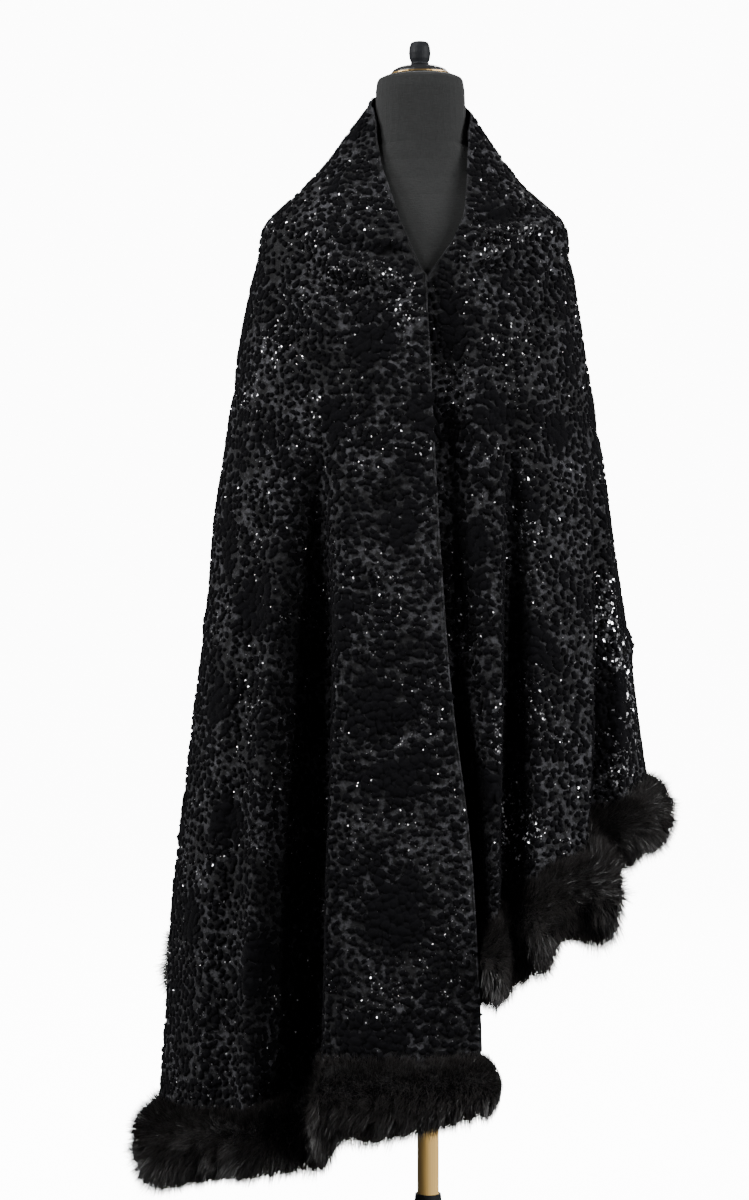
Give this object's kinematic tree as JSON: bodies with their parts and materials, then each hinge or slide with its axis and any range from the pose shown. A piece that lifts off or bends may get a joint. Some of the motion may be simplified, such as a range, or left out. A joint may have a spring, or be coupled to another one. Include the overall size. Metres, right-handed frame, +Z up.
{
  "type": "fur-trimmed cape on a dress form",
  "caption": "Wrap cape of patterned black velvet with a fur-trimmed hem, worn open at the neck by a limbless dress form on a pole and round foot.",
  "frame": {"origin": "centre of the round foot's underside, on the pole's axis", "axes": "+Z up along the pole, -Y the way the cape's front faces, +X to the wearer's left"},
  "size_m": [0.689, 0.5138, 1.563],
  "materials": {
    "velvet": "burnt-out velvet, black pile spots on a dark grey ground",
    "fur": "long soft black fur with a brown cast",
    "linen": "close plain weave",
    "cap_black": "satin black",
    "brass": "polished",
    "grey_paint": "satin dark grey",
    "pale_wood": "satin varnish"
  },
  "bodies": {
    "root": {"cape_over_half": "velvet", "cape_under_half": "velvet", "fur_over_end": "fur", "fur_back": "fur", "fur_under_end": "fur", "form_torso": "linen", "neck_cap": "cap_black", "cap_ring": "brass", "finial": "grey_paint", "pole": "pale_wood", "pole_collar": "grey_paint", "base_disc": "grey_paint"}
  },
  "joints": []
}
